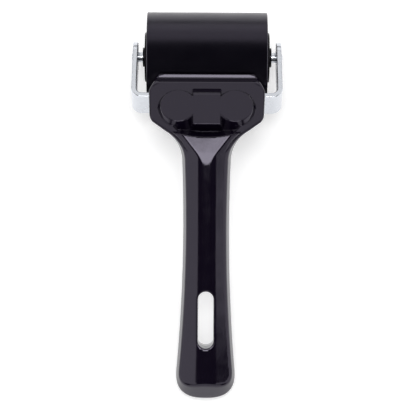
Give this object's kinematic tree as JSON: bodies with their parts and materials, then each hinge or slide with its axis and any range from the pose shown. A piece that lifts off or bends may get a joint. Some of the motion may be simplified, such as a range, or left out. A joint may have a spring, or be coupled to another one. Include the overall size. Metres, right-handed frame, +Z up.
{
  "type": "rubber brayer",
  "caption": "Hand brayer: a rubber-covered roller spinning on an axle in a bent steel yoke, held by a moulded plastic handle with a hanging slot.",
  "frame": {"origin": "on the table under the middle of the brayer's bounding box, with the roller and the handle's heel touching the table", "axes": "X along the roller's axle, +Y from the handle's heel towards the roller, +Z up"},
  "size_m": [0.064, 0.1634, 0.0458],
  "materials": {
    "handle_plastic": "moulded, glossy black",
    "cover_plastic": "moulded, satin black",
    "screw_steel": "zinc plated",
    "yoke_steel": "bright zinc plate over rolled strip",
    "axle_steel": "drawn wire, plated",
    "rubber": "ground smooth, satin black",
    "core_plastic": "matt black",
    "bush_plastic": "matt black nylon"
  },
  "bodies": {
    "frame": {"handle": "handle_plastic", "head_cover": "cover_plastic", "left_cover_screw": "screw_steel", "right_cover_screw": "screw_steel", "yoke": "yoke_steel", "axle": "axle_steel"},
    "roller": {"rubber_sleeve": "rubber", "roller_core": "core_plastic", "left_bush": "bush_plastic", "right_bush": "bush_plastic"}
  },
  "joints": [
    {"name": "roller_spin", "type": "hinge", "parent": "frame", "child": "roller", "pos_m": [0, 0.06265, 0.01905], "axis": [1, 0, 0], "continuous": true}
  ]
}
